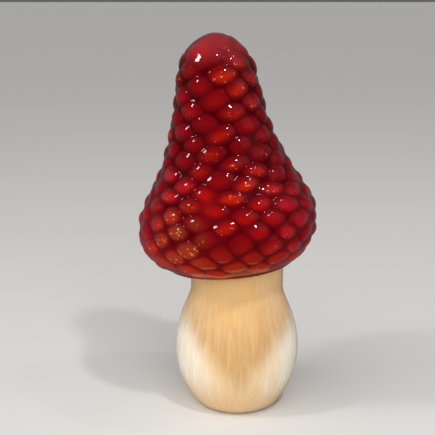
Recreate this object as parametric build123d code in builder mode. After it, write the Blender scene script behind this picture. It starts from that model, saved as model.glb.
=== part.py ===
"""Ceramic mushroom ornament: a pelleted red cap bonded on a pear-shaped stem.

All sizes are in millimetres. Z points up, the stem stands on Z = 0 with its
axis on Z, and the front of the ornament faces -Y.
"""

import os
from math import cos, radians, sin, sqrt, tau

from build123d import *

# Stem: radii and heights on the outside, thicknesses inside
foot_radius = 18.4
flare_radius = 23.8
flare_height = 5.5
bulb_radius = 30.4
bulb_height = 27.0
shoulder_radius = 29.0
shoulder_height = 40.0
throat_radius = 25.6
throat_height = 50.0
neck_radius = 22.5
neck_height = 60.0
stem_wall = 4.5
stem_floor = 5.0

# Seat of the cap on the stem
seat_height = 75.0
cap_shift = 3.6
cap_tilt = 4.2
tenon_radius = 14.5
tenon_height = 10.0
tenon_bore = 10.0
bond_thickness = 0.8

# Core of the cap: radii from the cap's axis, heights above the seat
rim_radius = 31.3
rim_height = -1.5
belly_radius = 41.0
belly_height = 14.5
bell_radius = 31.9
bell_height = 37.0
waist_radius = 22.0
waist_height = 61.0
top_radius = 15.5
top_height = 94.0
dome_rise = 8.4
cap_wall = 4.0
rim_wall = 2.6
soffit_thickness = 5.0
soffit_ledge = 2.5

# Rim coil and crown
rim_drop = 2.2
crown_radius = 16.5
crown_rise = 11.6
crown_shoulder = 10.6
crown_shoulder_rise = 7.3

# Pellets, each set one turn on from the last as they climb the core
pellet_turn = 137.5
first_angle = 260.0
pellet_rows = 12
pitch_rim = 7.7
pitch_crown = 9.2
width_rim = 10.6
width_crown = 11.2
pellet_fill = 0.92
pellet_rise = 2.2
slip_film = 0.15

# The cap leans to -X, on a plane of its own at the top of the stem
cap_plane = Plane((-cap_shift, 0, seat_height)).rotated((0, -cap_tilt, 0))
cap_axis = Axis(cap_plane.origin, cap_plane.z_dir)
cap_section = Plane(
    cap_plane.origin, x_dir=cap_plane.x_dir, z_dir=-cap_plane.y_dir
)

# Sizes that follow from those above
cavity_top = (neck_height + seat_height) / 2
stem_top = seat_height + 2 * cap_shift
socket_radius = tenon_radius + bond_thickness
mouth_radius = rim_radius - rim_wall
core_height = top_height + dome_rise
cap_height = top_height + crown_rise


def smooth(points, start, finish):
    """Smooth curve through points, with the direction at each end."""
    return Spline(*points, tangents=[start, finish], tangent_scalars=[1, 1])


def core_side():
    """Outline of the cap's core, from its rim to the foot of the crown."""
    points = [
        (rim_radius, rim_height),
        (belly_radius, belly_height),
        (bell_radius, bell_height),
        (waist_radius, waist_height),
        (top_radius, top_height),
    ]
    return smooth(points, (1.4, 1), (-0.3, 1))


def core_dome(film):
    """Outline of the core's round top, a film's thickness proud of it."""
    points = [(top_radius + film, top_height), (0, core_height + film)]
    return smooth(points, (-0.3, 1), (-1, 0))


# Stem: a hollow thrown body, cut off on the lean of the cap's seat
with BuildPart() as stem_body:
    with BuildSketch(Plane.XZ):
        with BuildLine():
            outline = [
                (flare_radius, flare_height),
                (bulb_radius, bulb_height),
                (shoulder_radius, shoulder_height),
                (throat_radius, throat_height),
                (neck_radius, neck_height),
            ]
            outside = smooth([(foot_radius, 0), *outline], (1, 0.5), (0, 1))
            Polyline(
                outside @ 1,
                (neck_radius, stem_top),
                (0, stem_top),
                (0, 0),
                outside @ 0,
            )
        make_face()
    revolve(axis=Axis.Z)
    split(bisect_by=cap_plane, keep=Keep.BOTTOM)
    with BuildSketch(cap_plane):
        Circle(tenon_radius)
    extrude(amount=tenon_height)
    with BuildSketch(Plane.XZ):
        with BuildLine():
            floor_edge = (foot_radius - stem_wall, stem_floor)
            wall = [(r - stem_wall, z) for r, z in outline[1:]]
            inside = smooth([floor_edge, *wall], (1, 0.6), (0, 1))
            Polyline(
                inside @ 1,
                (neck_radius - stem_wall, cavity_top),
                (0, cavity_top),
                (0, stem_floor),
                inside @ 0,
            )
        make_face()
    revolve(axis=Axis.Z, mode=Mode.SUBTRACT)
    with BuildSketch(cap_plane.offset(tenon_height)):
        Circle(tenon_bore)
    extrude(amount=neck_height - stem_top - tenon_height, mode=Mode.SUBTRACT)

# Adhesive that fills the socket round the tenon
with BuildPart() as bond_ring:
    with BuildSketch(cap_plane):
        Circle(socket_radius)
        Circle(tenon_radius, mode=Mode.SUBTRACT)
    extrude(amount=soffit_thickness)

# Disc that closes the cap underneath and rests on the stem's shoulder
with BuildPart() as cap_soffit:
    with BuildSketch(cap_plane):
        Circle(mouth_radius - slip_film)
        Circle(socket_radius, mode=Mode.SUBTRACT)
    extrude(amount=soffit_thickness)

# Hollow core of the cap, with a ledge in its mouth for the soffit
with BuildPart() as cap_shell:
    with BuildSketch(cap_section):
        with BuildLine():
            side = core_side()
            dome = core_dome(0)
            hollow = smooth(
                [
                    (mouth_radius - soffit_ledge, soffit_thickness),
                    (belly_radius - cap_wall, belly_height),
                    (bell_radius - cap_wall, bell_height),
                    (waist_radius - cap_wall, waist_height),
                    (top_radius - cap_wall, top_height),
                ],
                (1.2, 1),
                (-0.3, 1),
            )
            vault_top = (0, core_height - cap_wall)
            vault = smooth([hollow @ 1, vault_top], (-0.3, 1), (-1, 0))
            Line(dome @ 1, vault @ 1)
            Polyline(
                hollow @ 0,
                (mouth_radius, soffit_thickness),
                (mouth_radius, rim_height),
                side @ 0,
            )
        make_face()
    revolve(axis=cap_axis)

# Coil that rounds off the lower edge of the cap
with BuildPart() as rim_coil:
    with BuildSketch(cap_section):
        with BuildLine():
            top = Line((mouth_radius, rim_height), (rim_radius, rim_height))
            lowest = (top @ 0.5) - (0, rim_drop)
            smooth([top @ 1, lowest, top @ 0], (0, -1), (0, 1))
        make_face()
    revolve(axis=cap_axis)

# Smooth pad over the top of the core
with BuildPart() as crown:
    with BuildSketch(cap_section):
        with BuildLine():
            under = core_dome(slip_film)
            pad = smooth(
                [
                    (crown_radius, top_height),
                    (crown_shoulder, top_height + crown_shoulder_rise),
                    (0, cap_height),
                ],
                (-0.3, 1),
                (-1, 0),
            )
            Line(under @ 0, pad @ 0)
            Line(under @ 1, pad @ 1)
        make_face()
    revolve(axis=cap_axis)

# Lay-out of the pellets, measured along the core from the rim up
lay_line = core_side()


def pitch_at(along):
    """Room for one pellet up the core, from the rim's to the crown's."""
    return pitch_rim + (pitch_crown - pitch_rim) * along / lay_line.length


def width_at(along):
    """Room for one pellet round the core, from the rim's to the crown's."""
    return width_rim + (width_crown - width_rim) * along / lay_line.length


def pellet_place(along, angle):
    """Plane of a pellet on the core, and the core's radius round it there."""
    point = lay_line.position_at(along, PositionMode.LENGTH)
    slope = lay_line.tangent_at(along, PositionMode.LENGTH)
    out = Vector(cos(angle), sin(angle), 0)
    plane = Plane(
        out * point.X + Vector(0, 0, point.Y),
        x_dir=(-sin(angle), cos(angle), 0),
        z_dir=out * slope.Y - Vector(0, 0, slope.X),
    )
    return plane, point.X, point.X / slope.Y


def pellet_places():
    """Distance up the core, plane and bed radius of every pellet in turn."""
    along = pitch_rim / 2
    angle = radians(first_angle)
    while along < lay_line.length - pitch_crown / 2:
        plane, radius, bed = pellet_place(along, angle)
        yield along, plane, bed
        along += width_at(along) * pitch_at(along) / (tau * radius)
        angle -= radians(pellet_turn)


def pellet_row(places):
    """Pellets of one row, all of one shape, hollowed to lie on the core."""
    along = sum(along for along, _, _ in places) / len(places)
    bed = max(bed for _, _, bed in places)
    half_height = pellet_fill * pitch_at(along) / 2
    round_radius = (half_height**2 / pellet_rise + pellet_rise) / 2
    sink = round_radius - pellet_rise
    half_turn = pellet_fill * width_at(along) / 2 / bed
    end_height = (sink - bed * (1 - cos(half_turn))) / round_radius
    round_length = bed * sin(half_turn) / sqrt(1 - end_height**2)
    with BuildPart() as pellet:
        with BuildSketch(Plane.XZ):
            Ellipse(round_length, round_radius)
            split(bisect_by=Plane.XZ)
        revolve(axis=Axis.X)
        with BuildSketch(Plane.XZ):
            with Locations((0, sink - bed)):
                Circle(bed)
        extrude(amount=2 * half_height, both=True, mode=Mode.SUBTRACT)
    planes = [plane.offset(slip_film - sink) for _, plane, _ in places]
    with BuildPart() as group:
        with Locations(*(cap_plane.location * p.location for p in planes)):
            add(pellet.part)
    return group.part


# Every piece under its name, then one file for each
pieces = {
    "stem_body": stem_body.part,
    "bond_ring": bond_ring.part,
    "cap_soffit": cap_soffit.part,
    "cap_shell": cap_shell.part,
    "rim_coil": rim_coil.part,
    "crown": crown.part,
}
places = list(pellet_places())
for row in range(pellet_rows):
    first = row * len(places) // pellet_rows
    last = (row + 1) * len(places) // pellet_rows
    pieces[f"pellet_row_{row + 1:02d}"] = pellet_row(places[first:last])

os.makedirs("parts", exist_ok=True)
for name, piece in pieces.items():
    piece.label = name
    export_step(piece, f"parts/{name}.step")
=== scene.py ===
"""Looks of a ceramic mushroom ornament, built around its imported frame.

A red cap, pressed all over with oval pellets under a thick glossy glaze, sits
on a pear-shaped stem in a streaked cream glaze. Lengths are in metres, in the
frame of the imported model: Z up, the front towards -Y.
"""

import logging
import math
import random
from dataclasses import dataclass, field
from enum import Enum
from typing import Any

import bmesh
import bpy
import numpy as np
from mathutils import Matrix, Vector, noise


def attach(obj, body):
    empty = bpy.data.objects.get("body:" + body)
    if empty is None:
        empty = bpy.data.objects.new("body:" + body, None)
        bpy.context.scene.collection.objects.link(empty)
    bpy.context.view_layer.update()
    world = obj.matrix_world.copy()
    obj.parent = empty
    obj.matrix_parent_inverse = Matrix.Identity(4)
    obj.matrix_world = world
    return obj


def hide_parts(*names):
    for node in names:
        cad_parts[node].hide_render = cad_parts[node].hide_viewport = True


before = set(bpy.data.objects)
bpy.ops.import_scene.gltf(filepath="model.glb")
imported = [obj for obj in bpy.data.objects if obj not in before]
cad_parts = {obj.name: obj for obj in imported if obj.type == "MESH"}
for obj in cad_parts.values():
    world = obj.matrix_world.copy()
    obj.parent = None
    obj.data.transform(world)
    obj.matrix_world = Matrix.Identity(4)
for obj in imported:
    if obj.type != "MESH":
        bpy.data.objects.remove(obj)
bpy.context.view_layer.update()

LOG = logging.getLogger("mushroom")
MM = 0.001
BODY = "root"
SEAT = (-3.6 * MM, 0.0, 75 * MM)
TILT = math.radians(4.2)
Point = tuple[float, float]
Place = tuple[float, float, float]
Band = tuple[float, float, float, float]
Colour = tuple[float, float, float, float]


class Gloss(Enum):
    """How smooth a finish is, as the roughness of its shader."""

    WET = 0.035
    SATIN = 0.2
    MATT = 0.9


class Lamp(Enum):
    """Kinds of lamp in the studio."""

    AREA = "AREA"
    SUN = "SUN"


class Hand(Enum):
    """Seeds of the maker's hand, one for each thing that varies."""

    PELLETS = 17
    GLAZE = 23
    CLAY = 31


# Shader arithmetic


class Value:
    """One shader value, which takes part in Python arithmetic."""

    def __init__(self, paint: "Paint", socket: bpy.types.NodeSocket) -> None:
        """Wraps a socket of a material's node tree."""
        self.paint = paint
        self.socket = socket

    def _math(self, operation: str, first: Any, second: Any) -> "Value":
        """Adds one Math node for an operation on two values."""
        node = self.paint.node(
            "ShaderNodeMath", {"operation": operation}, {0: first, 1: second}
        )
        return Value(self.paint, node.outputs[0])

    def __add__(self, other: Any) -> "Value":
        """Sum of two values."""
        return self._math("ADD", self, other)

    __radd__ = __add__

    def __sub__(self, other: Any) -> "Value":
        """Difference of two values."""
        return self._math("SUBTRACT", self, other)

    def __rsub__(self, other: Any) -> "Value":
        """Difference of a number and a value."""
        return self._math("SUBTRACT", other, self)

    def __mul__(self, other: Any) -> "Value":
        """Product of two values."""
        return self._math("MULTIPLY", self, other)

    __rmul__ = __mul__

    def __truediv__(self, other: Any) -> "Value":
        """Quotient of two values."""
        return self._math("DIVIDE", self, other)

    def __pow__(self, other: Any) -> "Value":
        """A value to a power."""
        return self._math("POWER", self, other)

    def absolute(self) -> "Value":
        """Size of a value without its sign."""
        return self._math("ABSOLUTE", self, 0.0)

    def ramp(self, low: float, high: float) -> "Value":
        """Smooth step from 0 at one value to 1 at another.

        Args:
            low: Value that gives 0.
            high: Value that gives 1.

        Returns:
            The step, between 0 and 1.
        """
        node = self.paint.node(
            "ShaderNodeMapRange",
            {"interpolation_type": "SMOOTHSTEP"},
            {"Value": self, "From Min": low, "From Max": high},
        )
        return Value(self.paint, node.outputs[0])


class Paint:
    """A material under way: its node tree and the ways to add to it."""

    def __init__(self, name: str) -> None:
        """Starts an empty material with one Principled shader.

        Args:
            name: Name of the material.
        """
        self.material = bpy.data.materials.new(name)
        self.material.use_nodes = True
        self.tree = self.material.node_tree
        self.shader = self.tree.nodes["Principled BSDF"]
        place = self.node("ShaderNodeTexCoord", {}, {})
        self.place = place.outputs["Object"]

    def node(
        self, kind: str, settings: dict[str, Any], sockets: dict[Any, Any]
    ) -> bpy.types.Node:
        """Adds any node.

        Args:
            kind: Type name of the node.
            settings: Properties, which are set first.
            sockets: Values or links of its inputs, by name or number.

        Returns:
            The new node.
        """
        node = self.tree.nodes.new(kind)
        for key, setting in settings.items():
            setattr(node, key, setting)
        for key, given in sockets.items():
            self.feed(node.inputs[key], given)
        return node

    def feed(self, socket: bpy.types.NodeSocket, given: Any) -> None:
        """Links a value or a socket to an input, or sets a plain number."""
        if isinstance(given, Value):
            self.tree.links.new(given.socket, socket)
        elif isinstance(given, bpy.types.NodeSocket):
            self.tree.links.new(given, socket)
        else:
            socket.default_value = given

    def attribute(self, name: str) -> Value:
        """Value that the mesh keeps at each point."""
        node = self.node("ShaderNodeAttribute", {"attribute_name": name}, {})
        return Value(self, node.outputs["Fac"])

    def axes(self) -> tuple[Value, Value, Value]:
        """The place on the piece as three values."""
        node = self.node("ShaderNodeSeparateXYZ", {}, {0: self.place})
        return tuple(Value(self, out) for out in node.outputs)

    def vector(self, x: Any, y: Any, z: Any) -> bpy.types.NodeSocket:
        """Vector of three values."""
        node = self.node("ShaderNodeCombineXYZ", {}, {0: x, 1: y, 2: z})
        return node.outputs[0]

    def cloud(
        self, scale: float, detail: float = 3.0, place: Any = None
    ) -> Value:
        """Noise between about 0 and 1.

        Args:
            scale: Number of lumps in a metre.
            detail: How many finer layers it has.
            place: Coordinates to use in place of the object's own.

        Returns:
            The noise at each point.
        """
        node = self.node(
            "ShaderNodeTexNoise",
            {},
            {
                "Vector": place or self.place,
                "Scale": scale,
                "Detail": detail,
            },
        )
        return Value(self, node.outputs["Fac"])

    def mix(
        self, amount: Any, first: Any, second: Any
    ) -> bpy.types.NodeSocket:
        """Mixes two colours.

        Args:
            amount: 0 gives the first colour and 1 the second.
            first: Colour or socket.
            second: Colour or socket.

        Returns:
            Socket of the mixed colour.
        """
        node = self.node(
            "ShaderNodeMix",
            {"data_type": "RGBA"},
            {0: amount, 6: first, 7: second},
        )
        return node.outputs[2]

    def bump(self, height: Value, distance: float, strength: float) -> None:
        """Roughens the surface finely.

        Args:
            height: Height of the surface, 0 to 1.
            distance: Height of 1, in metres.
            strength: Share of it that shows.
        """
        node = self.node(
            "ShaderNodeBump",
            {},
            {"Height": height, "Distance": distance, "Strength": strength},
        )
        self.tree.links.new(node.outputs[0], self.shader.inputs["Normal"])

    def set(self, **sockets: Any) -> None:
        """Sets or links the shader's inputs, named with underscores."""
        for key, given in sockets.items():
            self.feed(self.shader.inputs[key.replace("_", " ")], given)


# Finishes


class CapPaint(Paint):
    """The cap's glaze under way, with what its mesh keeps at each point."""

    def __init__(self, name: str) -> None:
        """Reads the kept values and the place of each point.

        Args:
            name: Name of the material.
        """
        super().__init__(name)
        self.rise = self.attribute("rise")
        self.tone = self.attribute("tone")
        self.face = self.attribute("face")
        self.seam = self.attribute("seam")
        self.bank = self.attribute("bank")
        self.flank = self.attribute("flank")
        self.flood = self.attribute("flood")
        self.x, _, self.z = self.axes()


@dataclass(frozen=True)
class CapGlaze:
    """Thick red glaze: dark in the crevices, partly from pooled glaze and
    partly painted shade, with a painted glow low on each lobe, painted sheen
    on the sides and the crown, and painted warm glints.
    """

    # Crevice red, partly pooled glaze and partly painted shade.
    wine: Colour = (0.045, 0.0, 0.001, 1.0)
    crimson: Colour = (0.118, 0.0, 0.002, 1.0)
    scarlet: Colour = (0.325, 0.002, 0.001, 1.0)
    # Pinker red of a painted sheen on the cap's sides.
    painted_side_sheen: Colour = (0.365, 0.004, 0.020, 1.0)
    # Milky pink of a painted sheen over the crown.
    painted_crown_sheen: Colour = (0.33, 0.03, 0.037, 1.0)
    rust: Colour = (0.40, 0.018, 0.005, 1.0)
    # Golden tint of a painted warm reflection.
    painted_warm_reflection: Colour = (0.30, 0.07, 0.018, 1.0)
    # Orange of a painted glow on the lower faces of lobes.
    painted_ember_glow: Colour = (0.50, 0.035, 0.004, 1.0)
    # Colour of the painted glints.
    amber: Colour = (0.95, 0.45, 0.13, 1.0)
    seam_share: float = 0.6
    painted_side_sheen_share: float = 0.8
    painted_crown_sheen_share: float = 0.45
    rust_share: float = 0.85
    painted_warm_reflection_share: float = 0.28
    painted_ember_glow_share: float = 0.3
    painted_glint_share: float = 0.7
    lobe_coat: float = 0.72
    coat_index: float = 1.34
    inner_shine: float = 0.08
    drift_grain: float = 32.0
    speck_grain: float = 850.0
    spark_grain: float = 760.0
    pool_grain: float = 75.0
    ripple_grain: float = 190.0
    pit_grain: float = 900.0
    lip_foot: float = 74 * MM
    lip_top: float = 92 * MM
    belly_top: float = 130 * MM
    gleam_foot: float = 158 * MM
    gleam_top: float = 168 * MM
    dome_foot: float = 164 * MM
    crown_foot: float = 166 * MM
    crown_top: float = 177 * MM
    # Where the painted warm reflection and glints gather, low on the front
    # left.
    golden_right: Point = (-11 * MM, -23 * MM)
    golden_left: Point = (-42 * MM, -33 * MM)
    golden_height: Point = (112 * MM, 92 * MM)
    ripple_height: float = 0.6 * MM
    ripple_strength: float = 0.15

    def material(self) -> bpy.types.Material:
        """Makes the glaze of the cap."""
        paint = CapPaint("cap_glaze")
        drift = paint.cloud(self.drift_grain, 2.0)
        speck = paint.cloud(self.speck_grain, 2.0)
        smooth = self._smooth(paint)
        colour = self._body(paint, drift, smooth)
        colour = self._warmth(paint, drift, speck, colour)
        # Seams between lobes go towards the crevice red: partly glaze pooled
        # there, partly painted shade in the creases.
        seam = paint.seam.ramp(0.15, 0.6) * self.seam_share
        paint.set(
            Base_Color=paint.mix(seam, colour, self.wine),
            Roughness=Gloss.WET.value + 0.06 * speck,
            Specular_IOR_Level=self.inner_shine,
            Coat_Weight=self._wetness(paint, smooth),
            Coat_Roughness=Gloss.WET.value,
            Coat_IOR=self.coat_index,
        )
        ripple = paint.cloud(self.ripple_grain, 2.0) * 0.7
        ripple = ripple + paint.cloud(self.pit_grain, 2.0) * 0.3
        paint.bump(ripple, self.ripple_height, self.ripple_strength)
        return paint.material

    def _smooth(self, paint: CapPaint) -> Value:
        """How far the glaze evens out the lobes at lip, crown and belly."""
        lip = paint.z.ramp(self.lip_top, self.lip_foot)
        crown = paint.z.ramp(self.crown_foot, self.crown_top)
        belly = paint.z.ramp(self.belly_top, self.lip_top)
        return lip * 0.5 + crown * 0.2 + belly * 0.15

    def _body(
        self, paint: CapPaint, drift: Value, smooth: Value
    ) -> bpy.types.NodeSocket:
        """Reds of the glaze, from its crevices, dark partly from pooled glaze
        and partly from painted shade, to a painted glow low on each lobe.

        Args:
            paint: The material under way.
            drift: Slow change of the glaze over the cap.
            smooth: How far the glaze evens out the lobes.

        Returns:
            Socket of the colour.
        """
        # Darker towards the crevices and the lobes' edges: partly pooled
        # glaze, partly painted shade.
        shade = paint.rise + (drift - 0.5) * 0.3 - paint.bank * 0.3 + smooth
        pooled_glaze_and_shade = paint.mix(shade.ramp(0.0, 0.5), self.wine, self.crimson)
        # Painted glow: light through the glaze, painted brighter low on each
        # lobe and on the lower belly; the drowned patch at the front is
        # brightened too.
        glow = shade.ramp(0.35, 1.0) * (0.5 + 0.5 * paint.tone)
        glow = glow * (0.45 + 0.55 * paint.face.ramp(0.7, -0.4))
        glow = glow * (0.45 + 0.55 * drift.ramp(0.3, 0.6))
        belly = paint.z.ramp(self.belly_top, self.lip_top)
        glow = glow * (0.8 + 0.25 * belly) + paint.flood * 0.18
        # Painted sheen: the cap's left and right sides turn a pinker red.
        side = paint.flank.ramp(0.3, 0.85) * self.painted_side_sheen_share
        bright = paint.mix(side, self.scarlet, self.painted_side_sheen)
        colour = paint.mix(glow.ramp(0.0, 1.0), pooled_glaze_and_shade, bright)
        # Painted sheen: a milky pink over the top of the crown.
        dome = paint.z.ramp(self.dome_foot, self.crown_top)
        return paint.mix(dome * self.painted_crown_sheen_share, colour, self.painted_crown_sheen)

    def _warmth(
        self,
        paint: CapPaint,
        drift: Value,
        speck: Value,
        colour: bpy.types.NodeSocket,
    ) -> bpy.types.NodeSocket:
        """Adds the rusty lip, a painted warm reflection on the lobes low on
        the front left, a painted orange glow and painted glints.

        Args:
            paint: The material under way.
            drift: Slow change of the glaze over the cap.
            speck: Fine grain of the glaze.
            colour: Colour so far.

        Returns:
            Socket of the warmer colour.
        """
        lip = paint.z.ramp(self.lip_top, self.lip_foot)
        lip = lip * (paint.rise - paint.bank * 0.4).ramp(0.1, 0.6)
        colour = paint.mix(lip * self.rust_share, colour, self.rust)
        # Painted reflection: a warm golden tint on the lobes low on the front
        # left.
        golden = paint.x.ramp(*self.golden_right)
        golden = golden * paint.x.ramp(*self.golden_left)
        golden = golden * paint.z.ramp(*self.golden_height)
        painted_warm_reflection = golden * paint.rise.ramp(0.3, 0.9) * self.painted_warm_reflection_share
        colour = paint.mix(painted_warm_reflection, colour, self.painted_warm_reflection)
        # Painted glow: orange on the lower faces of the golden lobes and of
        # some others, by their tone.
        warm = (paint.tone.ramp(0.5, 0.8) * 0.7 + golden).ramp(0.0, 1.0)
        warm = warm * paint.face.ramp(0.5, -0.2) * paint.rise.ramp(0.45, 0.9)
        painted_ember_glow = warm * drift.ramp(0.35, 0.65) * self.painted_ember_glow_share
        colour = paint.mix(painted_ember_glow, colour, self.painted_ember_glow)
        # Painted glints: small amber dots on those warm lobes, most on the
        # front left.
        spark = paint.cloud(self.spark_grain, 1.0) + 0.035 * golden
        painted_glint = spark.ramp(0.64, 0.7) * speck.ramp(0.4, 0.5) * warm
        return paint.mix(painted_glint * self.painted_glint_share, colour, self.amber)

    def _wetness(self, paint: CapPaint, smooth: Value) -> Value:
        """How wet the glaze looks: on the lobes, most of all on the crown.

        Args:
            paint: The material under way.
            smooth: How far the glaze evens out the lobes.

        Returns:
            Weight of the clear coat.
        """
        wet = (paint.rise + smooth).ramp(0.28, 0.5)
        wet = wet * (1 - 0.8 * paint.seam.ramp(0.1, 0.4))
        wet = wet + 0.6 * paint.cloud(self.pool_grain, 1.0).ramp(0.52, 0.6)
        gleam = paint.z.ramp(self.gleam_foot, self.gleam_top)
        coat = self.lobe_coat + (1 - self.lobe_coat) * gleam
        lip = paint.z.ramp(self.lip_top, self.lip_foot)
        under = lip * paint.face.ramp(-0.1, -0.6)
        return wet.ramp(0.0, 1.0) * coat * (1 - under)


@dataclass(frozen=True)
class StemGlaze:
    """Cream glaze with tan brush streaks that run down the stem; the tan band
    under the cap is partly painted shadow, and the flanks and the foot carry
    painted light, reflection and highlight.
    """

    cream: Colour = (0.78, 0.56, 0.31, 1.0)
    # Pale flanks, partly the glaze and partly painted light.
    chalk_and_painted_light: Colour = (0.87, 0.81, 0.70, 1.0)
    # Partly brushed glaze, partly painted shadow of the cap.
    tan: Colour = (0.53, 0.295, 0.112, 1.0)
    # Tan painted lighter towards the neck, painted light against the shade
    # under the cap.
    neck_tan_painted_light: Colour = (0.76, 0.44, 0.168, 1.0)
    # Warm tint low on the foot: painted reflection and painted shade.
    painted_foot_reflection_and_shade: Colour = (0.78, 0.52, 0.29, 1.0)
    # Unglazed ring at the bottom, partly a painted highlight along the foot's
    # edge.
    pale_clay_and_glint: Colour = (0.74, 0.62, 0.46, 1.0)
    tongue_tip: float = 18 * MM
    tongue_rise: float = 30 * MM
    tongue_fade: float = 9 * MM
    streak_grain: float = 7.0
    brush_grain: float = 17.0
    drift_grain: float = 45.0
    stretch: float = 5.0
    streak_length: float = 14 * MM
    brush_length: float = 3 * MM
    foot_drift: float = 9 * MM
    foot_height: Point = (22 * MM, 5 * MM)
    neck_height: Point = (38 * MM, 62 * MM)
    bare_height: Point = (0.9 * MM, 0.2 * MM)
    brush_height: float = 0.5 * MM
    brush_strength: float = 0.2
    coat_roughness: float = 0.15

    def material(self) -> bpy.types.Material:
        """Makes the glaze of the stem."""
        paint = Paint("stem_glaze")
        x, y, z = paint.axes()
        reach = (x * x + y * y) ** 0.5 + 1e-6
        around = paint.vector(x / reach, y / reach, z * self.stretch)
        streak = paint.cloud(self.streak_grain, 3.0, around)
        brush = paint.cloud(self.brush_grain, 2.0, around)
        drift = paint.cloud(self.drift_grain, 2.0)
        # Tan band under the cap, reaching lower at front and back than on the
        # sides: partly tan brush glaze, partly painted shadow of the cap.
        side = x.absolute() / reach
        edge = z - self.tongue_tip - self.tongue_rise * side
        edge = edge + (streak - 0.5) * self.streak_length
        edge = edge + (brush - 0.5) * self.brush_length
        tongue = edge.ramp(-self.tongue_fade, self.tongue_fade)
        # Pale left and right flanks: partly the glaze, partly painted light
        # from the sides.
        flank = (side + (streak - 0.5) * 0.8).ramp(0.2, 0.9)
        colour = paint.mix(flank, self.cream, self.chalk_and_painted_light)
        colour = paint.mix(brush.ramp(0.62, 0.38) * 0.3, colour, self.cream)
        # Warm tint low on the foot: painted reflection and painted shade.
        foot = z + (drift - 0.5) * self.foot_drift
        foot = foot.ramp(*self.foot_height)
        colour = paint.mix(foot * 0.8, colour, self.painted_foot_reflection_and_shade)
        wash = 0.7 + 0.25 * brush.ramp(0.3, 0.7)
        # Painted light: the tan grows lighter towards the neck, against the
        # shade under the cap.
        tan = paint.mix(z.ramp(*self.neck_height), self.tan, self.neck_tan_painted_light)
        colour = paint.mix(tongue * wash, colour, tan)
        # The ring at the very bottom: unglazed, and painted pale as a
        # highlight along the foot's edge.
        bare = z.ramp(*self.bare_height)
        colour = paint.mix(bare, colour, self.pale_clay_and_glint)
        paint.set(
            Base_Color=colour,
            Roughness=Gloss.SATIN.value + 0.12 * brush + 0.4 * bare,
            Specular_IOR_Level=0.3,
            Coat_Weight=(1 - bare) * 0.1,
            Coat_Roughness=self.coat_roughness,
        )
        height = brush * 0.6 + streak * 0.4
        paint.bump(height, self.brush_height, self.brush_strength)
        return paint.material


@dataclass(frozen=True)
class SetAdhesive:
    """Dull amber adhesive, hidden in the seat of the cap."""

    pale: Colour = (0.62, 0.50, 0.32, 1.0)
    dark: Colour = (0.42, 0.30, 0.16, 1.0)
    lump_grain: float = 260.0
    lump_height: float = 0.4 * MM
    lump_strength: float = 0.4

    def material(self) -> bpy.types.Material:
        """Makes the set adhesive."""
        paint = Paint("set_adhesive")
        lump = paint.cloud(self.lump_grain, 4.0)
        paint.set(
            Base_Color=paint.mix(lump.ramp(0.3, 0.7), self.dark, self.pale),
            Roughness=0.45 + 0.2 * lump,
        )
        paint.bump(lump, self.lump_height, self.lump_strength)
        return paint.material


@dataclass(frozen=True)
class PaleFloor:
    """Plain pale floor of the studio."""

    pale: Colour = (0.66, 0.65, 0.63, 1.0)

    def material(self) -> bpy.types.Material:
        """Makes the floor's plain finish."""
        paint = Paint("pale_floor")
        paint.set(Base_Color=self.pale, Roughness=Gloss.MATT.value)
        return paint.material


# Shared ways of shaping


@dataclass
class SmoothCurve:
    """Smooth curve through points, with the direction at each end."""

    points: list[Point]
    start: Point
    finish: Point
    fineness: int = 200

    def sample(self, spacing: float) -> list[Point]:
        """Points evenly along the curve.

        Args:
            spacing: Distance between points, about.

        Returns:
            The points, both ends included.
        """
        knots = np.array(self.points)
        runs = np.linalg.norm(np.diff(knots, axis=0), axis=1)
        ends = [np.array(v) / np.hypot(*v) for v in (self.start, self.finish)]
        slopes = self._slopes(knots, runs, ends)
        fine = []
        for i, run in enumerate(runs):
            t = np.linspace(0, 1, self.fineness, endpoint=False)[:, None]
            fine.append(
                (2 * t**3 - 3 * t**2 + 1) * knots[i]
                + (t**3 - 2 * t**2 + t) * run * slopes[i]
                + (3 * t**2 - 2 * t**3) * knots[i + 1]
                + (t**3 - t**2) * run * slopes[i + 1]
            )
        line = np.vstack([*fine, knots[-1:]])
        steps = np.linalg.norm(np.diff(line, axis=0), axis=1)
        travelled = np.concatenate([[0], np.cumsum(steps)])
        count = max(2, round(travelled[-1] / spacing) + 1)
        at = np.linspace(0, travelled[-1], count)
        across = np.interp(at, travelled, line[:, 0])
        upward = np.interp(at, travelled, line[:, 1])
        return list(zip(across.tolist(), upward.tolist()))

    def _slopes(
        self, knots: np.ndarray, runs: np.ndarray, ends: list[np.ndarray]
    ) -> np.ndarray:
        """Directions at the points that make the curve bend evenly."""
        count = len(knots)
        rows = np.eye(count)
        given = np.zeros_like(knots)
        given[0], given[-1] = ends
        for i in range(1, count - 1):
            before, after = runs[i - 1], runs[i]
            middle = 2 / before + 2 / after
            rows[i, i - 1 : i + 2] = 1 / before, middle, 1 / after
            given[i] = 3 * (knots[i] - knots[i - 1]) / before**2
            given[i] += 3 * (knots[i + 1] - knots[i]) / after**2
        return np.linalg.solve(rows, given)


def in_mm(*points: Point) -> list[Point]:
    """Points given in millimetres, in metres."""
    return [(across * MM, upward * MM) for across, upward in points]


def deselect() -> None:
    """Leaves object mode with nothing selected."""
    if bpy.context.object and bpy.context.object.mode != "OBJECT":
        bpy.ops.object.mode_set(mode="OBJECT")
    bpy.ops.object.select_all(action="DESELECT")


def choose(piece: bpy.types.Object) -> None:
    """Selects one piece alone and makes it active."""
    deselect()
    piece.select_set(True)
    bpy.context.view_layer.objects.active = piece


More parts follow.
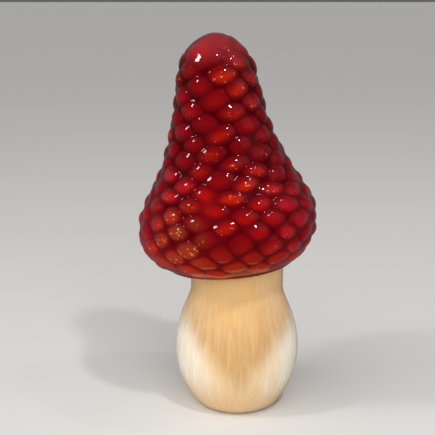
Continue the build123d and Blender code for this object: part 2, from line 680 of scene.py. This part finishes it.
def turn_pot(
    name: str, section: list[Point], segments: int
) -> bpy.types.Object:
    """Turns a closed form from its section, as on a wheel.

    Args:
        name: Name of the piece.
        section: Radii and heights from the upper pole to the lower pole.
        segments: Number of points round the axis.

    Returns:
        The new piece, turned round Z.
    """
    deselect()
    rings = len(section) - 1
    bpy.ops.mesh.primitive_uv_sphere_add(
        segments=segments, ring_count=rings, radius=1.0
    )
    pot = bpy.context.object
    pot.name = name
    pot.data.name = name
    places = points_of(pot)
    tall = np.clip(places[:, 2], -1, 1)
    ring = np.rint(np.arccos(tall) / math.pi * rings).astype(int)
    angle = np.arctan2(places[:, 1], places[:, 0])
    radius, height = np.array(section).T
    places[:, 0] = radius[ring] * np.cos(angle)
    places[:, 1] = radius[ring] * np.sin(angle)
    places[:, 2] = height[ring]
    pot.data.vertices.foreach_set("co", places.ravel())
    pot.data.update()
    return pot


def points_of(piece: bpy.types.Object) -> np.ndarray:
    """Places of a piece's points, one row each."""
    places = np.empty(len(piece.data.vertices) * 3)
    piece.data.vertices.foreach_get("co", places)
    return places.reshape(-1, 3)


def push_out(
    piece: bpy.types.Object, weights: np.ndarray, most: float
) -> None:
    """Moves each point of a piece out along its normal.

    Args:
        piece: The piece.
        weights: Share of the way that each point goes, 0 to 1.
        most: The whole way.
    """
    group = piece.vertex_groups.new(name="push")
    for index, weight in enumerate(weights.tolist()):
        group.add([index], weight, "REPLACE")
    choose(piece)
    push = piece.modifiers.new("Push", "DISPLACE")
    push.vertex_group = group.name
    push.direction = "NORMAL"
    push.mid_level = 0.0
    push.strength = most
    bpy.ops.object.modifier_apply(modifier=push.name)
    piece.vertex_groups.clear()


def keep_values(
    piece: bpy.types.Object, name: str, values: np.ndarray
) -> None:
    """Keeps a value at each point of a piece for its finish to read."""
    kept = piece.data.attributes.new(name, "FLOAT", "POINT")
    kept.data.foreach_set("value", values.astype(np.float32))


def smooth_step(values: np.ndarray, low: float, high: float) -> np.ndarray:
    """Smooth step from 0 at one value to 1 at another."""
    share = np.clip((values - low) / (high - low), 0, 1)
    return share * share * (3 - 2 * share)


def band(values: np.ndarray, edges: Band) -> np.ndarray:
    """Smooth band: 0 past the outer edges and 1 between the inner two."""
    low, full, fading, high = edges
    return smooth_step(values, low, full) * smooth_step(values, high, fading)


def lumps(places: np.ndarray, size: float, seed: int) -> np.ndarray:
    """Soft noise of about a given lump size, from -1 to 1, at each place."""
    shift = Vector((seed, 2 * seed, 3 * seed))
    rows = (places / size).tolist()
    return np.array([noise.noise(Vector(row) + shift) for row in rows])


def coat(piece: bpy.types.Object, finish: bpy.types.Material) -> None:
    """Gives a piece its one finish."""
    piece.data.materials.clear()
    piece.data.materials.append(finish)
    LOG.info("%s: %d faces", piece.name, len(piece.data.polygons))


def settle(
    piece: bpy.types.Object,
    finish: bpy.types.Material,
    nodes: list[str],
    edge: float,
) -> None:
    """Finishes a piece and sets it in the frame.

    Args:
        piece: The piece, in place.
        finish: Its material.
        nodes: The solids that it stands for.
        edge: Angle from which an edge stays crisp, in degrees.
    """
    choose(piece)
    bpy.ops.object.shade_smooth_by_angle(angle=math.radians(edge))
    coat(piece, finish)
    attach(piece, BODY)
    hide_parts(*nodes)


# Pieces


@dataclass
class Pellet:
    """One pressed pellet, as it lies on the core of the cap."""

    centre: np.ndarray
    along: np.ndarray
    across: np.ndarray
    half_length: float
    half_height: float
    rise: float = 1.0


class Blend:
    """Lobes and pooled glaze run together into one soft surface."""

    POOL_TONE = 0.55
    DEEPEST = -4.0

    def __init__(self, pool: np.ndarray, soft: float) -> None:
        """Starts from the pooled glaze alone.

        Args:
            pool: Level of the pooled glaze at each point.
            soft: Width over which two surfaces run together.
        """
        self.soft = soft
        self.pool = np.exp(pool / soft)
        self.weight = self.pool.copy()
        self.squares = np.zeros(len(pool))
        self.tones = self.pool * self.POOL_TONE
        self.faces = np.zeros(len(pool))

    def press(
        self, near: np.ndarray, lobe: np.ndarray, tone: float, face: np.ndarray
    ) -> None:
        """Presses one lobe into the surface.

        Args:
            near: Which points it may reach.
            lobe: Its height at those points.
            tone: Its own tone.
            face: How far up the lobe each of those points is.
        """
        share = np.exp(np.maximum(lobe / self.soft, self.DEEPEST))
        self.weight[near] += share
        self.squares[near] += share**2
        self.tones[near] += share * tone
        self.faces[near] += share * face

    def height(self) -> np.ndarray:
        """Height of the surface at each point."""
        return self.soft * np.log(self.weight)

    def tone(self) -> np.ndarray:
        """Tone of the lobe that each point is on."""
        return self.tones / self.weight

    def face(self) -> np.ndarray:
        """How far up its lobe each point is."""
        return self.faces / self.weight

    def seam(self) -> np.ndarray:
        """How near each point is to a seam between lobes."""
        lobes = self.weight - self.pool
        apart = self.squares / np.maximum(lobes, 1e-9) ** 2
        return np.clip(1 - apart, 0, 1) * lobes / self.weight


@dataclass
class Cap:
    """The red cap: one glazed skin over shell, rim, crown and pellets.

    Heights are measured from the cap's seat, along its own leaning axis.
    """

    # Section of the skin
    side: list[Point] = field(
        default_factory=lambda: in_mm(
            (31.3, -1.5),
            (41.0, 14.5),
            (31.9, 37.0),
            (22.0, 61.0),
            (16.9, 87.0),
            (15.3, 93.8),
            (10.1, 100.8),
            (0.0, 104.9),
        )
    )
    hollow: list[Point] = field(
        default_factory=lambda: in_mm(
            (26.2, 5.0),
            (37.0, 14.5),
            (27.9, 37.0),
            (18.0, 61.0),
            (11.5, 94.0),
            (0.0, 98.4),
        )
    )
    rim_bottom: Point = (30.0 * MM, -3.7 * MM)
    mouth: Point = (28.7 * MM, -1.5 * MM)
    mouth_ring: float = 2.0 * MM
    ledge_height: float = 5.0 * MM
    segments: int = 352
    outside_spacing: float = 0.54 * MM
    rim_spacing: float = 0.9 * MM
    inside_spacing: float = 5.0 * MM
    skin_depth: float = 1.5 * MM
    weld: float = 0.001 * MM

    # Lobes: shares of a pellet's own size, and how far they go astray
    pellet_rise: float = 2.15 * MM
    highest: float = 1.04
    top_share: Point = (0.78, 1.0)
    length_share: Point = (1.3, 1.75)
    height_share: Point = (1.18, 1.46)
    twist: float = math.radians(20)
    stray: Point = (0.8 * MM, 0.6 * MM)
    lobe_reach: float = 12 * MM
    rim_proud: float = 0.75
    rim_rise: Point = (0.0, 12 * MM)
    crown_proud: float = 0.7
    crown_fall: Point = (86 * MM, 100 * MM)
    crevice_round: float = 0.18 * MM
    bank_width: float = 0.55 * MM

    # Lobes on the crown, above the pellets
    lobe_turn: float = math.radians(137.5)
    first_angle: float = math.radians(260)
    lobe_width: float = 11.2 * MM
    lobe_pitch: float = 9.2 * MM
    lobe_fill: float = 0.46
    crown_start: float = 99.8 * MM
    crown_sink: float = 0.6
    step: float = 0.1 * MM

    # Uneven fullness
    sag: float = 1.0 * MM
    sag_height: Band = (-3.6 * MM, 4 * MM, 8 * MM, 16 * MM)
    sag_angle: Point = (math.radians(75), math.radians(5))
    swell: float = 1.6 * MM
    swell_height: Band = (14 * MM, 26 * MM, 40 * MM, 64 * MM)
    swell_angle: Point = (math.radians(100), math.radians(160))
    plump: float = 0.5 * MM
    plump_height: Band = (40 * MM, 58 * MM, 84 * MM, 94 * MM)

    # Pooled glaze, from its level in the crevices to the drowned patches
    pool: float = 0.25 * MM
    pool_wave: float = 0.4 * MM
    pool_size: float = 16 * MM
    pool_start: Point = (-3.6 * MM, -1.0 * MM)
    crown_pool: float = 0.25 * MM
    crown_pool_height: Point = (90 * MM, 101 * MM)
    flank_pool: float = 0.75 * MM
    flank_pool_height: Point = (70 * MM, 45 * MM)
    rim_pool: float = 0.2 * MM
    rim_pool_height: Point = (3 * MM, -1 * MM)
    flood: float = 1.0 * MM
    flood_middle: Place = (-14 * MM, -39 * MM, 108 * MM)
    flood_size: Place = (8 * MM, 16 * MM, 13 * MM)
    flat: float = 1.5 * MM
    flat_middle: Place = (-18 * MM, -13.5 * MM, 171 * MM)
    flat_edge: Point = (9 * MM, 4 * MM)
    flat_hollow: float = 0.36 * MM
    flat_hollow_size: float = 4 * MM
    flat_shade: float = 0.35

    # Fine unevenness of the surface
    grain: float = 0.07 * MM
    grain_size: float = 3.5 * MM
    dent: float = 0.9 * MM
    dent_size: float = 6 * MM
    dent_height: Point = (97 * MM, 101 * MM)
    crisp_angle: float = 80.0

    def __post_init__(self) -> None:
        """Works out the cap's outline, its place and the solids under it."""
        self.stand = Matrix.Translation(SEAT) @ Matrix.Rotation(-TILT, 4, "Y")
        names = sorted(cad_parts)
        self.rows = [name for name in names if name.startswith("pellet_row")]
        self.nodes = ["cap_shell", "rim_coil", "crown", *self.rows]
        self.outline = SmoothCurve(self.side, (1.4, 1), (-1, 0))

    def section(self) -> tuple[list[Point], int]:
        """Section of the skin from its top, down, under and up inside.

        Returns:
            Its points, and how many of them are on the outside.
        """
        rise = self.outline.sample(self.outside_spacing)[::-1]
        rise[0] = (0.0, rise[0][1])
        rim = SmoothCurve(
            [self.side[0], self.rim_bottom, self.mouth], (-0.5, -1), (0, 1)
        ).sample(self.rim_spacing)
        heights = (self.mouth_ring, self.ledge_height)
        wall = [(self.mouth[0], height) for height in heights]
        inside = SmoothCurve(self.hollow, (1.2, 1), (-1, 0))
        hollow = inside.sample(self.inside_spacing)
        hollow[-1] = (0.0, hollow[-1][1])
        return rise + rim[1:] + wall + hollow, len(rise)

    def pellets(self) -> list[Pellet]:
        """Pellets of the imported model, each with its place and size."""
        found = []
        for name in self.rows:
            sheet = bmesh.new()
            sheet.from_mesh(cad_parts[name].data)
            bmesh.ops.remove_doubles(sheet, verts=sheet.verts, dist=self.weld)
            for solid in self._solids(sheet):
                found.append(self._measure(solid))
            sheet.free()
        return found

    def _solids(self, sheet: bmesh.types.BMesh) -> list[np.ndarray]:
        """Points of each separate solid in a mesh."""
        left = set(sheet.verts)
        solids = []
        while left:
            reached = [left.pop()]
            for vert in reached:
                for edge in vert.link_edges:
                    other = edge.other_vert(vert)
                    if other in left:
                        left.remove(other)
                        reached.append(other)
            solids.append(np.array([v.co[:] for v in reached]))
        solids.sort(key=lambda p: tuple(p.mean(0).round(6)))
        return solids

    def _measure(self, solid: np.ndarray) -> Pellet:
        """Place, directions and size of one pellet from its points."""
        middle = solid.mean(0)
        spot = self.stand.inverted() @ Vector(middle)
        ring = Vector((-spot.y, spot.x, 0)).normalized()
        along = np.array(self.stand.to_3x3() @ ring)
        _, axes = np.linalg.eigh(np.cov((solid - middle).T))
        across = np.cross(axes[:, 0], along)
        across /= math.copysign(np.linalg.norm(across), across[2])
        normal = np.cross(along, across)
        centre = normal * (solid @ normal).min()
        for axis in (along, across):
            reach = solid @ axis
            centre = centre + axis * (reach.min() + reach.max()) / 2
        return Pellet(
            centre,
            along,
            across,
            np.ptp(solid @ along) / 2,
            np.ptp(solid @ across) / 2,
        )

    def build(self) -> bpy.types.Object:
        """Models the skin with its lobes as real relief.

        Returns:
            The skin, in place.
        """
        section, outside = self.section()
        skin = turn_pot("cap_skin", section, self.segments)
        local = points_of(skin)
        skin.data.transform(self.stand)
        places = points_of(skin)
        radii, heights = np.array(section[:outside])[::-1].T
        reach = np.hypot(local[:, 0], local[:, 1])
        wanted = np.interp(local[:, 2], heights, radii)
        outer = reach > wanted - self.skin_depth
        names = ("rise", "tone", "face", "seam", "bank")
        kept = {name: np.zeros(len(places)) for name in names}
        relief = self._relief(places[outer], local[outer])
        for name, found in zip(names, relief):
            kept[name][outer] = found
        swell = np.zeros(len(places))
        swell[outer] = self._swell(local[outer])
        most = 2 * self.pellet_rise
        push_out(skin, (kept["rise"] + swell) / most, most)
        kept["rise"] -= self.flat_shade * self._flat(places)
        kept["rise"] /= self.pellet_rise
        kept["flank"] = np.abs(local[:, 0]) / np.maximum(reach, MM)
        kept["flood"] = self._flood(places)
        for name, values in kept.items():
            keep_values(skin, name, values)
        return skin

    def _relief(
        self, places: np.ndarray, local: np.ndarray
    ) -> tuple[np.ndarray, ...]:
        """Height of the glaze over the core, with the lobes pressed up in it.

        Args:
            places: Points on the outside of the cap.
            local: The same points in the cap's own frame.

        Returns:
            Heights, each lobe's own tone, how far up its lobe a point is, how
            near it is to the seam between two lobes, and the same more widely.
        """
        hand = random.Random(Hand.PELLETS.value)
        pool = self._pool(places, local)
        fine = Blend(pool, self.crevice_round)
        wide = Blend(pool, self.bank_width)
        pellets = self.pellets()
        for pellet in pellets + self._crown(len(pellets)):
            self._press(pellet, hand, places, [fine, wide])
        height = fine.height()
        height += self.grain * lumps(places, self.grain_size, Hand.GLAZE.value)
        dents = np.maximum(lumps(places, self.dent_size, Hand.CLAY.value), 0)
        dents *= smooth_step(local[:, 2], *self.dent_height)
        height = height - self.dent * dents
        height = np.clip(height, 0, self.pellet_rise * self.highest)
        return height, fine.tone(), fine.face(), fine.seam(), wide.seam()

    def _press(
        self,
        pellet: Pellet,
        hand: random.Random,
        places: np.ndarray,
        blends: list[Blend],
    ) -> None:
        """Presses one lobe into the glaze, as the maker's hand happens to.

        Args:
            pellet: The pellet in the lobe.
            hand: The maker's hand.
            places: Points on the outside of the cap.
            blends: Surfaces that take the lobe.
        """
        top = self.pellet_rise * pellet.rise * hand.uniform(*self.top_share)
        top *= self._proud(pellet)
        length = pellet.half_length * hand.uniform(*self.length_share)
        height = pellet.half_height * hand.uniform(*self.height_share)
        turn = hand.uniform(-self.twist, self.twist)
        shift = [hand.uniform(-most, most) for most in self.stray]
        tone = hand.random()
        away = places - pellet.centre
        near = np.einsum("ij,ij->i", away, away) < self.lobe_reach**2
        u = away[near] @ pellet.along - shift[0]
        v = away[near] @ pellet.across - shift[1]
        a = (u * math.cos(turn) + v * math.sin(turn)) / length
        b = (v * math.cos(turn) - u * math.sin(turn)) / height
        lobe = top * (1 - (a * a + b * b))
        for blend in blends:
            blend.press(near, lobe, tone, np.clip(b, -1, 1))

    def _proud(self, pellet: Pellet) -> float:
        """Share of its height that a lobe keeps: less at rim and crown."""
        tall = np.array((self.stand.inverted() @ Vector(pellet.centre)).z)
        sunk = 1 - smooth_step(tall, *self.rim_rise)
        low = 1 - (1 - self.rim_proud) * sunk
        fall = smooth_step(tall, *self.crown_fall)
        return float(low * (1 - (1 - self.crown_proud) * fall))

    def _swell(self, local: np.ndarray) -> np.ndarray:
        """Uneven fullness: the left of the rim sags and the right swells."""
        tall = local[:, 2]
        angle = np.abs(np.arctan2(local[:, 1], -local[:, 0]))
        left = smooth_step(angle, *self.sag_angle)
        right = smooth_step(angle, *self.swell_angle)
        fullness = self.sag * left * band(tall, self.sag_height)
        fullness += self.swell * right * band(tall, self.swell_height)
        return fullness + self.plump * band(tall, self.plump_height)

    def _crown(self, first: int) -> list[Pellet]:
        """Lobes that go on up the crown and drown in its glaze.

        Args:
            first: How many pellets lie below them.

        Returns:
            The lobes, from the lowest up.
        """
        line = np.array(self.outline.sample(self.step))
        slopes = np.gradient(line, axis=0)
        turn = self.stand.to_3x3()
        found = []
        along = self.crown_start
        finish = (len(line) - 1) * self.step - self.lobe_pitch / 3
        climb = finish - self.crown_start
        while along < finish:
            radius, height = line[int(along / self.step)]
            slope = slopes[int(along / self.step)]
            angle = self.first_angle - self.lobe_turn * (first + len(found))
            out = Vector((math.cos(angle), math.sin(angle), 0))
            ring = Vector((-math.sin(angle), math.cos(angle), 0))
            uphill = (out * slope[0] + Vector((0, 0, slope[1]))).normalized()
            spot = out * radius + Vector((0, 0, height))
            found.append(
                Pellet(
                    np.array(self.stand @ spot),
                    np.array(turn @ ring),
                    np.array(turn @ uphill),
                    self.lobe_fill * self.lobe_width,
                    self.lobe_fill * self.lobe_pitch,
                    1.0 - self.crown_sink * (along - self.crown_start) / climb,
                )
            )
            along += self.lobe_width * self.lobe_pitch / (math.tau * radius)
        return found

    def _pool(self, places: np.ndarray, local: np.ndarray) -> np.ndarray:
        """Level of the glaze that fills the crevices, over the core."""
        tall = local[:, 2]
        reach = np.maximum(np.hypot(local[:, 0], local[:, 1]), MM)
        flank = smooth_step(np.abs(local[:, 0]) / reach, 0.7, 1.0)
        flank *= smooth_step(tall, *self.flank_pool_height)
        waves = lumps(places, self.pool_size, Hand.GLAZE.value)
        level = self.pool + self.pool_wave * waves
        level += self.crown_pool * smooth_step(tall, *self.crown_pool_height)
        level += self.flank_pool * flank
        level += self.rim_pool * smooth_step(tall, *self.rim_pool_height)
        level += self.flood * self._flood(places) + self._flat(places)
        return level * smooth_step(tall, *self.pool_start)

    def _flood(self, places: np.ndarray) -> np.ndarray:
        """Patch at the front, 0 to 1, where the glaze drowns the lobes."""
        away = (places - np.array(self.flood_middle)) / self.flood_size
        return smooth_step(1 - np.linalg.norm(away, axis=1), 0.0, 0.8)

    def _flat(self, places: np.ndarray) -> np.ndarray:
        """Glaze over a thumbed flat on the crown's left shoulder."""
        away = np.linalg.norm(places - np.array(self.flat_middle), axis=1)
        hollow = np.exp(-((away / self.flat_hollow_size) ** 2))
        fill = smooth_step(away, *self.flat_edge)
        return self.flat * fill - self.flat_hollow * hollow

    def dress(self, glaze: bpy.types.Material) -> None:
        """Builds the skin and finishes it and the soffit under it.

        Args:
            glaze: The red glaze.
        """
        settle(self.build(), glaze, self.nodes, self.crisp_angle)
        coat(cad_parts["cap_soffit"], glaze)


@dataclass
class Stem:
    """The cream stem: a turned pot with a slanting seat and a tenon."""

    outline: list[Point] = field(
        default_factory=lambda: in_mm(
            (18.4, 0.0),
            (23.8, 5.5),
            (30.4, 27.0),
            (29.0, 40.0),
            (25.6, 50.0),
            (22.5, 60.0),
        )
    )
    top: float = 84 * MM
    tenon_radius: float = 14.5 * MM
    tenon_height: float = 10 * MM
    bore_radius: float = 10 * MM
    bore_depth: float = 24 * MM
    segments: int = 160
    spacing: float = 0.9 * MM
    lid_ring: float = 0.5
    column_rings: int = 14
    foot_rings: tuple[float, ...] = (0.97, 0.9, 0.75, 0.5, 0.25, 0.0)
    wobble: float = 0.35 * MM
    wobble_size: float = 26 * MM
    wobble_height: Band = (0.5 * MM, 8 * MM, 56 * MM, 72 * MM)
    crisp_angle: float = 40.0

    def section(self) -> list[Point]:
        """Section of the stem from its top to the middle of its foot."""
        side = SmoothCurve(self.outline, (1, 0.5), (0, 1)).sample(self.spacing)
        neck = side[-1][0]
        steps = np.linspace(side[-1][1], self.top, self.column_rings)
        column = [(neck, z) for z in steps[1:].tolist()]
        lid = [(0.0, self.top), (neck * self.lid_ring, self.top)]
        floor = [(side[0][0] * share, 0.0) for share in self.foot_rings]
        return lid + column[::-1] + side[::-1] + floor

    def build(self) -> bpy.types.Object:
        """Models the stem, a little uneven as a thrown pot is.

        Returns:
            The stem, in place.
        """
        stem = turn_pot("stem_pot", self.section(), self.segments)
        places = points_of(stem)
        uneven = 0.5 + 0.5 * lumps(places, self.wobble_size, Hand.CLAY.value)
        free = band(places[:, 2], self.wobble_height)
        push_out(stem, np.clip(uneven, 0, 1) * free, -self.wobble)
        self._cut_seat(stem)
        return stem

    def _cut_seat(self, stem: bpy.types.Object) -> None:
        """Cuts the neck off on the slant and raises the tenon on it."""
        normal = Vector((-math.sin(TILT), 0, math.cos(TILT)))
        seat = Vector(SEAT)
        choose(stem)
        bpy.ops.object.mode_set(mode="EDIT")
        bpy.ops.mesh.select_all(action="SELECT")
        bpy.ops.mesh.bisect(
            plane_co=seat, plane_no=normal, use_fill=True, clear_outer=True
        )
        neck = self.outline[-1][0]
        shift = seat - Vector((0, 0, seat.z - seat.x * math.tan(TILT)))
        for radius, rise in (
            (self.tenon_radius, self.tenon_height),
            (self.bore_radius, -self.bore_depth),
        ):
            bpy.ops.mesh.inset(thickness=neck - radius)
            neck = radius
            bpy.ops.transform.translate(value=shift)
            shift = Vector((0, 0, 0))
            bpy.ops.mesh.extrude_region_move(
                TRANSFORM_OT_translate={"value": normal * rise}
            )
        bpy.ops.object.mode_set(mode="OBJECT")

    def dress(
        self, glaze: bpy.types.Material, bond: bpy.types.Material
    ) -> None:
        """Builds the stem and finishes it and the adhesive round its tenon.

        Args:
            glaze: The cream glaze.
            bond: The set adhesive.
        """
        stem = self.build()
        settle(stem, glaze, ["stem_body"], self.crisp_angle)
        coat(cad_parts["bond_ring"], bond)


# Studio


@dataclass
class Panel:
    """One soft light of the studio: a panel, or a sun as wide as an angle."""

    name: str
    place: Place
    width: float
    height: float
    power: float
    mirrored: bool = True
    kind: Lamp = Lamp.AREA
    target: Place = (-0.004, 0.0, 0.1)


@dataclass
class Studio:
    """Plain pale floor, soft light and the camera of the photograph."""

    eye: Place = (-0.0095, -0.4204, 0.19405)
    pitch: float = math.radians(13.5)
    lens: float = 74.48
    sensor: float = 36.0
    nearest: float = 0.01
    floor_size: float = 600.0
    ambient: float = 0.12
    panels: list[Panel] = field(
        default_factory=lambda: [
            Panel("left_window", (-0.57, -0.23, 0.60), 0.09, 0.17, 1.5),
            Panel("right_sheen", (0.78, -0.38, 0.72), 0.9, 0.9, 0.6),
            Panel("ceiling_near", (0.24, -0.42, 0.78), 0.055, 0.055, 1.9),
            Panel("ceiling_far", (0.36, -0.10, 0.82), 0.04, 0.04, 0.4),
            Panel(
                "overhead",
                (-0.34, -0.6, 0.75),
                1.6,
                1.6,
                2.3,
                mirrored=False,
                kind=Lamp.SUN,
            ),
            Panel(
                "front_fill", (0.3, -0.95, 0.35), 0.6, 0.5, 2.6, mirrored=False
            ),
        ]
    )

    def build(self) -> None:
        """Sets up the floor, the lights and the camera."""
        deselect()
        bpy.ops.mesh.primitive_plane_add(size=self.floor_size)
        floor = bpy.context.object
        floor.name = "floor"
        floor.data.materials.append(PaleFloor().material())
        floor.visible_glossy = False
        for panel in self.panels:
            self._light(panel)
        self._world()
        self._camera()

    def _light(self, panel: Panel) -> None:
        """Hangs one light and points it at the ornament."""
        aim = Vector(panel.target) - Vector(panel.place)
        bpy.ops.object.light_add(
            type=panel.kind.value,
            location=panel.place,
            rotation=aim.to_track_quat("-Z", "Y").to_euler(),
        )
        lamp = bpy.context.object
        lamp.name = panel.name
        if panel.kind is Lamp.SUN:
            lamp.data.angle = panel.width
        else:
            lamp.data.shape = "RECTANGLE"
            lamp.data.size = panel.width
            lamp.data.size_y = panel.height
        lamp.data.energy = panel.power
        lamp.visible_glossy = panel.mirrored

    def _world(self) -> None:
        """Soft even light from all round."""
        world = bpy.data.worlds.new("studio")
        bpy.context.scene.world = world
        world.use_nodes = True
        soft = world.node_tree.nodes["Background"]
        soft.inputs["Color"].default_value = (1.0, 1.0, 1.0, 1.0)
        soft.inputs["Strength"].default_value = self.ambient

    def _camera(self) -> None:
        """Sets the camera at the photograph's viewing angle."""
        bpy.ops.object.camera_add(
            location=self.eye, rotation=(math.pi / 2 - self.pitch, 0, 0)
        )
        camera = bpy.context.object
        camera.data.lens = self.lens
        camera.data.sensor_width = self.sensor
        camera.data.clip_start = self.nearest
        bpy.context.scene.camera = camera
        bpy.context.scene.view_settings.view_transform = "Standard"


def main() -> None:
    """Builds the cap, the stem and the studio in order."""
    logging.basicConfig(level=logging.INFO)
    Cap().dress(CapGlaze().material())
    Stem().dress(StemGlaze().material(), SetAdhesive().material())
    Studio().build()


if __name__ == "__main__":
    main()
